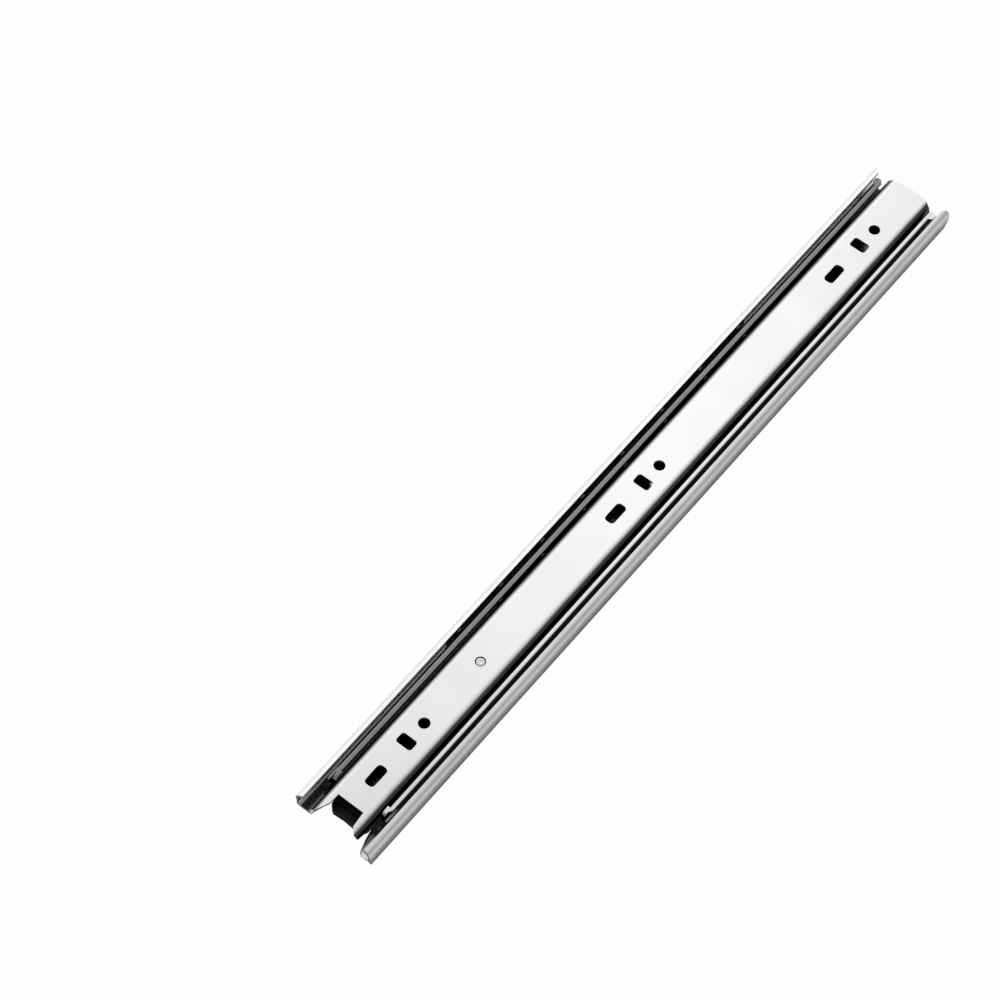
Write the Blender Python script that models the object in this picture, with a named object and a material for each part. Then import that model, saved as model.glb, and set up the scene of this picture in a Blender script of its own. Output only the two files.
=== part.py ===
"""Full-extension ball-bearing drawer slide, closed, lying on the back of its cabinet member.

+X is the way the drawer opens, +Y is across the slide, +Z runs from the cabinet wall to the drawer.
"""
import math

import bmesh
import bpy
import numpy as np
from mathutils import Vector

MM = 0.001

# Driving dimensions, in millimetres.
LENGTH = 450.0
WIDTH = 45.5
HEIGHT = 12.7
GAP = 0.3
CABINET_SHEET = 1.2
MIDDLE_SHEET = 1.1
DRAWER_SHEET = 1.2
CAGE_SHEET = 0.5
TRAVEL_MIDDLE = 215.0

FRONT = LENGTH / 2
REAR = -LENGTH / 2

# Ball rows: centre across and up, and radius.
OUTER_BALL_Y = 19.4
OUTER_BALL_Z = 8.0
OUTER_BALL_R = 2.0
INNER_BALL_Y = 14.85
INNER_BALL_Z = 6.1
INNER_BALL_R = 1.6

# Heights of the three webs' middle planes and the two cage webs.
CABINET_WEB = CABINET_SHEET / 2
MIDDLE_WEB = 2.85
DRAWER_WEB = HEIGHT - DRAWER_SHEET / 2
OUTER_CAGE_WEB = 1.75
INNER_CAGE_WEB = 3.9
INNER_CAGE_SHEET = 0.4

# Lengthwise limits of the sliding pieces, closed.
MIDDLE_REAR = -219.4
MIDDLE_FRONT = 207.0
MIDDLE_TONGUE = 211.0
MIDDLE_LIP_EDGE = 14.4
MIDDLE_LIP_TOP = 11.71
ACCESS_HOLES = (-112.0, -30.0, 99.0)
OUTER_CAGE = (-110.0, 115.0)
INNER_CAGE = (-193.0, 87.3)
OUTER_BALLS = (8, -105.0, 30.8)
INNER_BALLS = (7, -104.0, 31.6)

# Cabinet member: fixing groups, each a round hole, a slot on the same tongue and a slot ahead of it.
TAB_GROUPS = (-176.6, -89.9, 32.6, 119.4)
TAB_ROUND = 5.6
TAB_SLOT = (21.6, 11.4, 5.2)
TAB_SLOT_AHEAD = (43.6, 11.2, 5.6)
TONGUE_BACK = 12.8
TONGUE_LEG = 32.0
TONGUE_HALF = 11.6
TONGUE_END_SLIT = 4.0
TONGUE_SIDE_SLIT = 1.9
STOP_GROUP = TAB_GROUPS[2]

# Drawer member: fixing groups, each a long slot, a cross slot and a round hole.
DRAWER_GROUPS = (193.4, 17.9, -157.6)
LONG_SLOT = (11.6, 5.4)
CROSS_SLOT = (-21.8, 5.8, 8.8)
DRAWER_ROUND = (-34.0, 5.8)
LEVER_PIVOT_X = 118.9

# Front end of the cabinet member: a notch between two ears.
NOTCH_FLOOR = 210.4
NOTCH_HALF = 12.6
EAR_CENTRE = (221.0, 17.6)
EAR_RADIUS = 3.2

# How far the ends of the cabinet member's flanges stand back from its length, by height.
FRONT_NOSE_LEFT = ((3.0, 0.0), (3.0, 1.4), (3.1, 4.0), (2.8, 6.0), (2.4, 9.0), (2.6, 10.9), (3.2, 12.3))
FRONT_NOSE_RIGHT = ((1.2, 0.0), (0.7, 1.4), (0.1, 4.0), (0.0, 6.0), (0.0, 10.6), (0.3, 11.5), (0.8, 12.3))
REAR_NOSE = ((4.6, 0.0), (3.2, 1.4), (1.1, 4.0), (0.0, 7.0), (0.0, 11.0), (0.2, 11.6), (0.5, 12.3))
# Plan of a rounded lip end behind: how far it stands back, by distance from the middle.
REAR_LIP_PLAN = ((0.0, 21.6), (0.2, 20.9), (0.8, 20.2), (1.8, 19.6), (3.6, 18.7), (4.2, 18.0))

# Ends of the drawer member.
DRAWER_REAR = -223.2
DRAWER_NOTCH = 210.9
LONG_EAR = 223.4
SHORT_EAR = 220.6

# Small pieces on the drawer and intermediate members.
STRIKER_X = -199.6
DETENT_RIVET_X = -194.6

COLOURS = {
    "zinc": ((0.78, 0.79, 0.80, 1.0), 0.22, 1.0),
    "bright_zinc": ((0.90, 0.90, 0.91, 1.0), 0.12, 1.0),
    "spring_steel": ((0.55, 0.56, 0.57, 1.0), 0.3, 1.0),
    "ball_steel": ((0.85, 0.85, 0.86, 1.0), 0.08, 1.0),
    "black_plastic": ((0.015, 0.015, 0.017, 1.0), 0.4, 0.0),
    "rubber": ((0.03, 0.03, 0.03, 1.0), 0.75, 0.0),
}


def clear_scene():
    for item in list(bpy.data.objects):
        bpy.data.objects.remove(item, do_unlink=True)


def material(name):
    found = bpy.data.materials.get(name)
    if found:
        return found
    colour, roughness, metallic = COLOURS[name]
    made = bpy.data.materials.new(name)
    made.use_nodes = True
    shader = made.node_tree.nodes["Principled BSDF"]
    shader.inputs["Base Color"].default_value = colour
    shader.inputs["Roughness"].default_value = roughness
    shader.inputs["Metallic"].default_value = metallic
    made.diffuse_color = colour
    return made


def new_object(name, mesh, finish=None, origin=(0.0, 0.0, 0.0)):
    """Link an object whose mesh is in world millimetres, with its origin at the given point."""
    shift = Vector(origin)
    for vertex in mesh.vertices:
        vertex.co = (vertex.co - shift) * MM
    made = bpy.data.objects.new(name, mesh)
    made.location = shift * MM
    bpy.context.scene.collection.objects.link(made)
    if finish:
        made.data.materials.append(material(finish))
    return made


def smooth(item, angle=35.0):
    item.data.shade_smooth()
    item.data.set_sharp_from_angle(angle=math.radians(angle))


def mesh_from(bm, name):
    bmesh.ops.recalc_face_normals(bm, faces=bm.faces[:])
    mesh = bpy.data.meshes.new(name)
    bm.to_mesh(mesh)
    bm.free()
    return mesh


def prism(bm, outline, low, high, axis="Z"):
    """Add the closed outline, extruded from low to high along the axis, to bm."""
    def place(point, level):
        if axis == "Z":
            return (point[0], point[1], level)
        if axis == "Y":
            return (point[0], level, point[1])
        return (level, point[0], point[1])

    bottom = [bm.verts.new(place(point, low)) for point in outline]
    top = [bm.verts.new(place(point, high)) for point in outline]
    count = len(outline)
    bm.faces.new(bottom)
    bm.faces.new(list(reversed(top)))
    for index in range(count):
        after = (index + 1) % count
        bm.faces.new((bottom[after], bottom[index], top[index], top[after]))


def box_outline(x_low, x_high, y_low, y_high):
    return [(x_low, y_low), (x_high, y_low), (x_high, y_high), (x_low, y_high)]


def arc(centre_y, centre_z, radius, start, end, steps):
    """Points on an arc, with angles in degrees from the first axis."""
    return [(centre_y + radius * math.cos(math.radians(start + (end - start) * i / steps)),
             centre_z + radius * math.sin(math.radians(start + (end - start) * i / steps)))
            for i in range(steps + 1)]


def circle(x, y, diameter, sides=20):
    return arc(x, y, diameter / 2, 0.0, 360.0 * (sides - 1) / sides, sides - 1)


def slot(x, y, length, width, corner=None, steps=4):
    """A slot or a rounded rectangle, length along X and width along Y, centred on (x, y)."""
    radius = corner if corner else min(length, width) / 2 - 0.01
    dx = length / 2 - radius
    dy = width / 2 - radius
    points = []
    for sign_x, sign_y, start in ((1, 1, 0.0), (-1, 1, 90.0), (-1, -1, 180.0), (1, -1, 270.0)):
        points += arc(x + sign_x * dx, y + sign_y * dy, radius, start, start + 90.0, steps)
    return points


def section(half, thickness):
    """Closed outline of a sheet, from the right half of its middle line, mirrored across Y = 0."""
    line = [(-y, z) for y, z in reversed(half) if y > 0] + list(half)
    points = np.array(line, dtype=float)
    step = np.diff(points, axis=0)
    step /= np.linalg.norm(step, axis=1)[:, None]
    normal = np.stack([-step[:, 1], step[:, 0]], axis=1)
    joined = np.vstack([normal[:1], normal[:-1] + normal[1:], normal[-1:]])
    joined /= np.linalg.norm(joined, axis=1)[:, None]
    near = np.vstack([normal[:1], normal[:-1], normal[-1:]])
    reach = thickness / 2 / np.einsum("ij,ij->i", joined, near)
    side = joined * reach[:, None]
    return [tuple(p) for p in points + side] + [tuple(p) for p in (points - side)[::-1]]


def sheet_member(name, half, thickness, x_low, x_high, finish):
    bm = bmesh.new()
    prism(bm, section(half, thickness), x_low, x_high, axis="X")
    return new_object(name, mesh_from(bm, name), finish)


def helper(name, shapes):
    """A hidden cutter or added lump: a list of (outline, low, high, axis)."""
    bm = bmesh.new()
    for outline, low, high, axis in shapes:
        prism(bm, outline, low, high, axis)
    made = new_object(name, mesh_from(bm, name))
    made.hide_render = True
    made.display_type = "WIRE"
    return made


def boolean(item, other, operation):
    modifier = item.modifiers.new(operation.lower(), "BOOLEAN")
    modifier.operation = operation
    modifier.solver = "EXACT"
    modifier.object = other


def cut(item, shapes, label="cut"):
    boolean(item, helper(item.name + "_" + label, shapes), "DIFFERENCE")


def add(item, shapes, label="add"):
    boolean(item, helper(item.name + "_" + label, shapes), "UNION")


def solid(name, shapes, finish, origin=(0.0, 0.0, 0.0)):
    """A piece made of overlapping prisms, joined into one body."""
    bm = bmesh.new()
    outline, low, high, axis = shapes[0]
    prism(bm, outline, low, high, axis)
    made = new_object(name, mesh_from(bm, name), finish, origin)
    for index, shape in enumerate(shapes[1:]):
        add(made, [shape], "lump%d" % index)
    return made


# ---- cross-sections: the right half of each sheet's middle line ----

def cabinet_half():
    bend = 1.6
    half = CABINET_SHEET / 2
    flange = WIDTH / 2 - half
    lip_radius = 3.6
    line = [(0.0, CABINET_WEB)]
    line += arc(flange - bend, CABINET_WEB + bend, bend, -90.0, 0.0, 4)
    line += arc(flange - lip_radius, OUTER_BALL_Z, lip_radius, 0.0, 85.0, 9)
    return line


def middle_half():
    bend = 1.7
    flange = 17.2
    race = OUTER_BALL_R + 0.25 + MIDDLE_SHEET / 2
    curl = 0.86
    line = [(0.0, MIDDLE_WEB)]
    line += arc(flange - bend, MIDDLE_WEB + bend, bend, -90.0, 0.0, 4)
    line += [(flange, 6.0)]
    line += arc(OUTER_BALL_Y, OUTER_BALL_Z, race, 215.0, 155.0, 6)
    lip = MIDDLE_LIP_TOP - MIDDLE_SHEET / 2
    line += arc(line[-1][0] - curl, lip - curl, curl, 0.0, 90.0, 4)
    line += [(MIDDLE_LIP_EDGE, lip)]
    return line


def drawer_half():
    """The web eases into its bend: a short wide arc, then a tighter one down to the flange."""
    ease = 5.5
    ease_y = 8.6
    turn = 75.0
    bend = 3.28
    flange = 12.45
    race = INNER_BALL_R + 0.2 + DRAWER_SHEET / 2
    drop = ease * (1.0 - math.sin(math.radians(turn))) + bend * math.sin(math.radians(turn))
    line = [(0.0, DRAWER_WEB)]
    line += arc(ease_y, DRAWER_WEB - ease, ease, 90.0, turn, 2)[:-1]
    line += arc(flange - bend, DRAWER_WEB - drop, bend, turn, 0.0, 6)
    line += [(flange, 8.3)]
    line += arc(INNER_BALL_Y, INNER_BALL_Z, race, 145.0, 215.0, 5)
    return line


def cage_half(row_y, web_z, top_z):
    bend = 0.5
    line = [(0.0, web_z)]
    line += arc(row_y - bend, web_z + bend, bend, -90.0, 0.0, 2)
    line += [(row_y, top_z)]
    return line


# ---- the three members ----

def tongue_slit(x):
    """The U-shaped slit that frees the tongue round a hole at x."""
    back = x - TONGUE_BACK
    leg = x + TONGUE_LEG
    outer = TONGUE_HALF
    inner = TONGUE_HALF - TONGUE_SIDE_SLIT
    near = back + TONGUE_END_SLIT
    bend = 3.6
    tip = TONGUE_SIDE_SLIT / 2
    outside = arc(back + bend, outer - bend, bend, 180.0, 90.0, 5)
    rounded = arc(leg - tip, outer - tip, tip, 90.0, -90.0, 4)
    inside = arc(near + 1.8, inner - 1.8, 1.8, 90.0, 180.0, 3)
    upper = outside + rounded + inside
    return upper + [(px, -py) for px, py in reversed(upper)]


def nose_cutter(nose, facing, side=0):
    """Removes what lies beyond the sloped end of the flanges.

    facing is +1 in front and -1 behind; side is +1 or -1 for one flange, 0 for both.
    """
    beyond = facing * (LENGTH / 2 + 4.0)
    outline = [(facing * (LENGTH / 2 - back) + facing * 0.001, height) for back, height in nose]
    outline = [(beyond, -1.0), (outline[0][0], -1.0)] + outline + [(outline[-1][0], 14.0), (beyond, 14.0)]
    low = 0.0 if side > 0 else -WIDTH
    high = 0.0 if side < 0 else WIDTH
    return outline, low, high, "Y"


def cabinet_notch():
    """Half of the notch at the front of the web, from its floor out past the ear, for Y > 0."""
    x, y = EAR_CENTRE
    half = [(NOTCH_FLOOR - 1.5, 0.0), (NOTCH_FLOOR - 1.0, 5.0)]
    half += arc(NOTCH_FLOOR + 1.6, NOTCH_HALF - 2.4, 1.6, 180.0, 90.0, 3)
    half += [(216.0, NOTCH_HALF), (219.6, NOTCH_HALF + 1.2)]
    half += arc(x, y, EAR_RADIUS, -60.0, 40.0, 6)
    return half + [(FRONT - 1.6, 21.4), (FRONT + 5.0, 21.4)]


def make_cabinet_member():
    member = sheet_member("cabinet_member", cabinet_half(), CABINET_SHEET, REAR, FRONT, "zinc")
    through = (-1.0, CABINET_SHEET + 0.6)
    shapes = []
    for x in TAB_GROUPS:
        offset, length, width = TAB_SLOT
        ahead, ahead_length, ahead_width = TAB_SLOT_AHEAD
        shapes.append((tongue_slit(x), *through, "Z"))
        shapes.append((circle(x, 0.0, TAB_ROUND), *through, "Z"))
        shapes.append((slot(x + offset, 0.0, length, width), *through, "Z"))
        shapes.append((slot(x + ahead, 0.0, ahead_length, ahead_width, 2.4), *through, "Z"))
    shapes.append((bumper_hole(0.0), *through, "Z"))
    for x, y, length, lean in ((-217.2, 15.2, 7.2, -50.0), (-214.9, -15.6, 8.2, -66.0)):
        shapes.append((turned(slot(x, y, length, 3.9), x, y, lean), *through, "Z"))
    half = cabinet_notch()
    shapes.append((half + [(px, -py) for px, py in reversed(half[1:])], *through, "Z"))
    cut(member, shapes)
    noses = [nose_cutter(FRONT_NOSE_LEFT, 1, -1), nose_cutter(REAR_NOSE, -1)]
    cut(member, noses, "noses")
    cut(member, [nose_cutter(FRONT_NOSE_RIGHT, 1, 1)], "right_nose")
    plans = []
    for side in (1, -1):
        plan = [(REAR + back - 0.001, y * side) for back, y in REAR_LIP_PLAN]
        plans.append(([(REAR - 4.0, 21.6 * side)] + plan + [(REAR - 4.0, 18.0 * side)], 10.2, 13.5, "Z"))
    cut(member, plans, "rear_lips")
    stop = STOP_GROUP - TONGUE_BACK + TONGUE_END_SLIT + 0.2
    add(member, [(box_outline(stop, stop + 2.4, -4.0, 4.0), 0.6, 2.0, "Z")], "stop")
    smooth(member)


def turned(outline, x, y, degrees):
    turn = math.radians(degrees)
    return [(x + (px - x) * math.cos(turn) - (py - y) * math.sin(turn),
             y + (px - x) * math.sin(turn) + (py - y) * math.cos(turn)) for px, py in outline]


def bumper_hole(clear):
    """Outline of the D-shaped hole that takes the rear bumper's peg, drawn in by clear."""
    flat = -218.2 + clear
    radius = 3.4 - clear
    return arc(flat + 1.5, 0.6, radius, 90.0, -90.0, 9) + [(flat, 0.6 - radius), (flat, 0.6 + radius)]


def stop_tabs():
    """The front ends of the lips, bent down in front of the inner balls."""
    bend = 2.2
    front = MIDDLE_FRONT - 0.4
    back = front - 5.0
    foot = 5.0
    top = MIDDLE_LIP_TOP - 0.02
    centre = (front - bend, top - bend)
    tab = [(back, top)] + arc(*centre, bend, 90.0, 0.0, 5) + [(front, foot), (front - MIDDLE_SHEET, foot)]
    tab += arc(*centre, bend - MIDDLE_SHEET, 0.0, 90.0, 3) + [(back, top - MIDDLE_SHEET)]
    return [(tab, *sorted((14.5 * side, 16.6 * side)), "Y") for side in (1, -1)]


def make_middle_member():
    member = sheet_member("intermediate_member", middle_half(), MIDDLE_SHEET,
                          MIDDLE_REAR, MIDDLE_TONGUE, "bright_zinc")
    across = 18.5
    shapes = [(box_outline(MIDDLE_FRONT, MIDDLE_TONGUE + 2, 9.4 * side, across * side), 1.0, 13.0, "Z")
              for side in (1, -1)]
    cut(member, shapes, "front")
    web = (1.9, 3.9)
    shapes = [(box_outline(207.3, 212.0, -1.7, 1.7), *web, "Z"),
              (circle(204.9, 5.0, 3.6, 12), *web, "Z"),
              (circle(204.9, -5.0, 3.6, 12), *web, "Z"),
              (box_outline(MIDDLE_REAR - 1, -210.7, -6.0, 6.0), *web, "Z"),
              (circle(DETENT_RIVET_X, 0.0, 3.6, 12), *web, "Z")]
    for x in ACCESS_HOLES:
        shapes.append((slot(x, 0.0, 14.0, 9.0), *web, "Z"))
    cut(member, shapes, "web")
    lips = []
    for side in (1, -1):
        outline = [(MIDDLE_FRONT - 2.2, 18.5 * side), (MIDDLE_FRONT - 2.2, 14.0 * side),
                   (MIDDLE_FRONT + 1.0, 14.0 * side), (MIDDLE_FRONT + 1.0, 18.5 * side)]
        lips.append((outline, 9.8, 13.0, "Z"))
        lips.append(([(MIDDLE_REAR - 0.5, 14.0 * side), (MIDDLE_REAR + 1.8, 14.0 * side),
                      (MIDDLE_REAR + 0.5, 15.2 * side), (MIDDLE_REAR - 0.5, 15.6 * side)], 10.4, 13.0, "Z"))
    cut(member, lips, "lip_ends")
    add(member, stop_tabs(), "tabs")
    ears = []
    for side in (1, -1):
        flare = [(MIDDLE_REAR + 0.01, 16.2 * side), (MIDDLE_REAR + 4.6, 16.2 * side),
                 (MIDDLE_REAR + 3.4, 18.3 * side), (MIDDLE_REAR + 0.6, 18.3 * side)]
        ears.append((flare, 10.3, 11.5, "Z"))
    add(member, ears, "ears")
    stop = STOP_GROUP - TONGUE_BACK + TONGUE_END_SLIT + 0.2 - TRAVEL_MIDDLE - 0.2
    add(member, [(box_outline(stop - 2.0, stop, -3.0, 3.0), 1.5, 2.9, "Z")], "stop")
    smooth(member)


def make_drawer_member():
    member = sheet_member("drawer_member", drawer_half(), DRAWER_SHEET, REAR, FRONT, "bright_zinc")
    through = (11.0, 13.5)
    shapes = []
    for x in DRAWER_GROUPS:
        shapes.append((slot(x, 0.0, *LONG_SLOT, 1.9), *through, "Z"))
        shapes.append((slot(x + CROSS_SLOT[0], -0.3, CROSS_SLOT[1], CROSS_SLOT[2], 1.5), *through, "Z"))
        shapes.append((circle(x + DRAWER_ROUND[0], 0.0, DRAWER_ROUND[1]), *through, "Z"))
    shapes.append((circle(LEVER_PIVOT_X, 0.0, 5.2), *through, "Z"))
    shapes.append((circle(STRIKER_X, 0.0, 2.4, 12), 10.8, 12.3, "Z"))
    cut(member, shapes, "holes")
    corner = [(209.3, 3.1), (211.6, 5.05), (213.7, 6.12), (FRONT + 2.3, 6.93), (FRONT + 2.3, 3.1)]
    cut(member, [(corner, -16.0, 16.0, "Y")], "corners")
    notch = [(DRAWER_NOTCH, -7.2), (DRAWER_NOTCH, 7.2), (SHORT_EAR - 3.0, 8.0), (SHORT_EAR - 0.2, 10.6),
             (SHORT_EAR, 15.0), (FRONT + 5.0, 15.0), (FRONT + 5.0, -15.0), (LONG_EAR, -15.0),
             (LONG_EAR, -10.6), (LONG_EAR - 6.6, -7.5)]
    rear = [(-15.0, 1.4), (-12.0, 1.4), (-9.6, 0.7), (-5.0, 0.15), (0.0, 0.0),
            (5.0, 0.15), (9.6, 0.8), (12.0, 2.0), (15.0, 2.0)]
    rear = [(DRAWER_REAR + back, y) for y, back in rear]
    ends = [(notch, 3.5, 13.5, "Z"), ([(REAR - 5.0, -15.0)] + rear + [(REAR - 5.0, 15.0)], 3.5, 13.5, "Z")]
    cut(member, ends, "ends")
    smooth(member)


# ---- ball cages and balls ----

def ball_places(row):
    count, first, pitch = row
    return [first + pitch * index for index in range(count)]


def make_cage(name, row, row_y, row_z, hole, half, thickness, span, slots):
    cage = sheet_member(name, half, thickness, span[0], span[1], "spring_steel")
    holes = [(circle(x, row_z, hole, 14), -row_y - 1.0, row_y + 1.0, "Y") for x in ball_places(row)]
    cut(cage, holes, "pockets")
    cut(cage, slots, "slots")
    smooth(cage)


def make_outer_cage():
    half = cage_half(OUTER_BALL_Y, OUTER_CAGE_WEB, 10.5)
    slots = [(box_outline(OUTER_CAGE[0] - 2, 62.0, -9.5, 9.5), 1.0, 2.6, "Z"),
             (slot(88.0, 0.0, 38.0, 22.0, 3.0), 1.0, 2.6, "Z")]
    make_cage("outer_ball_cage", OUTER_BALLS, OUTER_BALL_Y, OUTER_BALL_Z,
              2 * OUTER_BALL_R + 0.5, half, CAGE_SHEET, OUTER_CAGE, slots)


def make_inner_cage():
    half = cage_half(INNER_BALL_Y, INNER_CAGE_WEB, 8.3)
    slots = [(slot(x, 0.0, 52.0, 18.0, 3.0), 3.2, 4.5, "Z") for x in (-150.0, -80.0, -10.0, 50.0)]
    slots.append((box_outline(84.0, 90.0, -13.6, 13.6), 3.2, 4.5, "Z"))
    slots.append((box_outline(-195.0, -189.5, -13.6, 13.6), 3.2, 4.5, "Z"))
    make_cage("inner_ball_cage", INNER_BALLS, INNER_BALL_Y, INNER_BALL_Z,
              2 * INNER_BALL_R + 0.4, half, INNER_CAGE_SHEET, INNER_CAGE, slots)


def make_balls(label, row, row_y, row_z, radius):
    bm = bmesh.new()
    bmesh.ops.create_icosphere(bm, subdivisions=1, radius=radius * MM)
    mesh = bpy.data.meshes.new(label + "_ball")
    bm.to_mesh(mesh)
    bm.free()
    mesh.materials.append(material("ball_steel"))
    mesh.shade_smooth()
    for side, word in ((1, "right"), (-1, "left")):
        for index, x in enumerate(ball_places(row)):
            ball = bpy.data.objects.new("%s_ball_%s_%d" % (label, word, index + 1), mesh)
            ball.location = Vector((x, side * row_y, row_z)) * MM
            bpy.context.scene.collection.objects.link(ball)


# ---- plastic, rubber and small steel pieces ----

def make_front_bumper():
    block = 8.8
    wing = 17.0
    shapes = [(box_outline(203.2, 212.1, -block, block), 3.7, 9.0, "Z")]
    lip = [(211.4, -block), (214.0, -block), (216.4, -6.3), (216.0, 0.0), (216.4, 6.6),
           (216.0, block), (211.4, block)]
    shapes.append((lip, 2.2, 6.6, "Z"))
    shapes.append((box_outline(207.5, 210.4, -wing, wing), 3.65, 4.05, "Z"))
    for side in (1, -1):
        shapes.append((box_outline(207.4, 210.4, 9.8 * side, 16.5 * side), 1.6, 3.9, "Z"))
        post = [(207.5, 13.9 * side), (210.5, 13.9 * side), (210.2, 16.0 * side),
                (209.2, wing * side), (207.5, wing * side)]
        shapes.append((post, 1.7, 9.2, "Z"))
        shapes.append((circle(204.9, 5.0 * side, 2.8, 12), 2.0, 4.2, "Z"))
    shapes.append((box_outline(207.9, 212.0, -1.3, 1.3), 1.5, 5.0, "Z"))
    bumper = solid("front_bumper", shapes, "black_plastic")
    smooth(bumper)


def make_rear_bumper():
    shapes = [(slot(-215.0, 0.0, 7.6, 10.0, 1.5), 1.5, 10.9, "Z"),
              (bumper_hole(GAP), 0.1, 2.0, "Z")]
    smooth(solid("rear_bumper", shapes, "rubber"))


def make_closing_detent():
    floor = 4.9
    shapes = [(box_outline(-208.5, -191.0, -7.0, 7.0), 3.7, floor, "Z"),
              (box_outline(-208.5, -206.6, -7.0, 7.0), 4.2, 9.6, "Z")]
    for side in (1, -1):
        arm = [(-207.4, 6.8 * side), (-207.4, 5.4 * side), (-202.6, 4.0 * side), (-200.6, 2.5 * side),
               (-199.0, 2.5 * side), (-196.4, 1.75 * side), (-191.6, 4.0 * side), (-192.4, 5.2 * side),
               (-197.0, 3.6 * side), (-201.4, 5.4 * side), (-205.0, 6.8 * side)]
        shapes.append((arm, 4.4, 9.2, "Z"))
    detent = solid("closing_detent", shapes, "black_plastic")
    cut(detent, [(circle(DETENT_RIVET_X, 0.0, 3.2, 12), 3.0, 5.3, "Z")], "rivet_hole")
    smooth(detent)


def rivet(name, x, y, levels):
    """A turned rivet; levels are (diameter, low, high), each overlapping the next."""
    shapes = [(circle(x, y, diameter, 16), low, high, "Z") for diameter, low, high in levels]
    smooth(solid(name, shapes, "ball_steel", (x, y, 0.0)))


def make_release_lever():
    pivot = LEVER_PIVOT_X
    arm = [(pivot + 16.0, -3.6), (pivot + 18.0, -1.6), (pivot + 18.0, 2.6), (pivot + 14.0, 4.6),
           (pivot - 8.0, 5.6), (60.0, 6.3), (20.0, 7.2), (-26.0, 7.7), (-35.6, 7.7), (-36.6, 7.2),
           (-36.6, 6.4), (-26.0, 5.0), (20.0, 4.5), (60.0, 3.2), (pivot - 12.0, -4.2)]
    hook = [(-36.4, 7.6), (-36.4, 6.6), (-35.0, 6.0), (-32.2, 6.0), (-32.2, 7.6)]
    shapes = [(arm, 9.1, 10.4, "Z"), (hook, 4.7, 9.6, "Z")]
    lever = solid("release_lever", shapes, "black_plastic", (pivot, 0.0, 0.0))
    cut(lever, [(circle(pivot, 0.0, 3.6, 16), 8.8, 10.8, "Z")], "pivot_hole")
    smooth(lever)


def make_fasteners():
    rivet("lever_rivet", LEVER_PIVOT_X, 0.0, [(4.6, 11.2, 12.5), (3.0, 9.0, 11.6)])
    rivet("detent_rivet", DETENT_RIVET_X, 0.0, [(2.6, 2.0, 5.4), (3.4, 5.2, 5.8)])
    rivet("detent_striker", STRIKER_X, 0.0, [(3.2, 6.2, 11.2), (1.8, 10.9, 12.0)])


clear_scene()
make_cabinet_member()
make_middle_member()
make_drawer_member()
make_outer_cage()
make_inner_cage()
make_balls("outer", OUTER_BALLS, OUTER_BALL_Y, OUTER_BALL_Z, OUTER_BALL_R)
make_balls("inner", INNER_BALLS, INNER_BALL_Y, INNER_BALL_Z, INNER_BALL_R)
make_front_bumper()
make_rear_bumper()
make_closing_detent()
make_release_lever()
make_fasteners()
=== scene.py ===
# Looks for a ball-bearing drawer slide: zinc sheet members with painted shade on bends, ends and undersides,
# greased ball rows partly darkened with painted shade, black plastic stops.
import math

import bmesh
import bpy
import numpy as np
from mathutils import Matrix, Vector


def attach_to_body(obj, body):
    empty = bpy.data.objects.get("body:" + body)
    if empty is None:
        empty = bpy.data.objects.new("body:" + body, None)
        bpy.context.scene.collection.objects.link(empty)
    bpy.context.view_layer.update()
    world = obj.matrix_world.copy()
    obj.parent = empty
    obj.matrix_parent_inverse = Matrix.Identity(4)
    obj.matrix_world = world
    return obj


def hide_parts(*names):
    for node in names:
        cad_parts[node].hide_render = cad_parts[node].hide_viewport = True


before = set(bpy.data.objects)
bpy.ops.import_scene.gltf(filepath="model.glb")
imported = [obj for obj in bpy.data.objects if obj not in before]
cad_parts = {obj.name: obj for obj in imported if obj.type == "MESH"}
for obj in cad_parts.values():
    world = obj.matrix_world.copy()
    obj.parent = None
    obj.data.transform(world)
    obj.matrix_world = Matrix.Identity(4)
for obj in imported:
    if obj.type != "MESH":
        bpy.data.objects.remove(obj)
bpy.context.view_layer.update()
mm = 0.001
print("frame loaded:", len(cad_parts), "nodes")


# Shader building blocks

def putNode(tree, kind, sockets=None, **settings):
    made = tree.nodes.new("ShaderNode" + kind)
    for key, value in settings.items():
        setattr(made, key, value)
    for key, value in (sockets or {}).items():
        if isinstance(value, bpy.types.NodeSocket):
            tree.links.new(value, made.inputs[key])
        else:
            made.inputs[key].default_value = value
    return made


def doMath(tree, operation, *values, clamp=False):
    made = putNode(tree, "Math", dict(enumerate(values)), operation=operation, use_clamp=clamp)
    return made.outputs[0]


def remap(tree, value, low, high, newLow=0.0, newHigh=1.0, smooth=True):
    made = putNode(tree, "MapRange", {"Value": value, "From Min": low, "From Max": high,
                                      "To Min": newLow, "To Max": newHigh},
                   interpolation_type="SMOOTHSTEP" if smooth else "LINEAR")
    return made.outputs[0]


def blendColour(tree, factor, first, second, how="MIX"):
    made = putNode(tree, "Mix", {0: factor, 6: first, 7: second}, data_type="RGBA", blend_type=how)
    return made.outputs[2]


def newGroup(name, inputs, outputs):
    tree = bpy.data.node_groups.new(name, "ShaderNodeTree")
    for label, value in inputs:
        socket = tree.interface.new_socket(label, in_out="INPUT", socket_type="NodeSocketFloat")
        socket.default_value = value
    for label in outputs:
        tree.interface.new_socket(label, in_out="OUTPUT", socket_type="NodeSocketFloat")
    return tree, tree.nodes.new("NodeGroupInput").outputs, tree.nodes.new("NodeGroupOutput").inputs


def useGroup(tree, group, **values):
    made = tree.nodes.new("ShaderNodeGroup")
    made.node_tree = group
    for key, value in values.items():
        made.inputs[key].default_value = value
    return made.outputs


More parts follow.
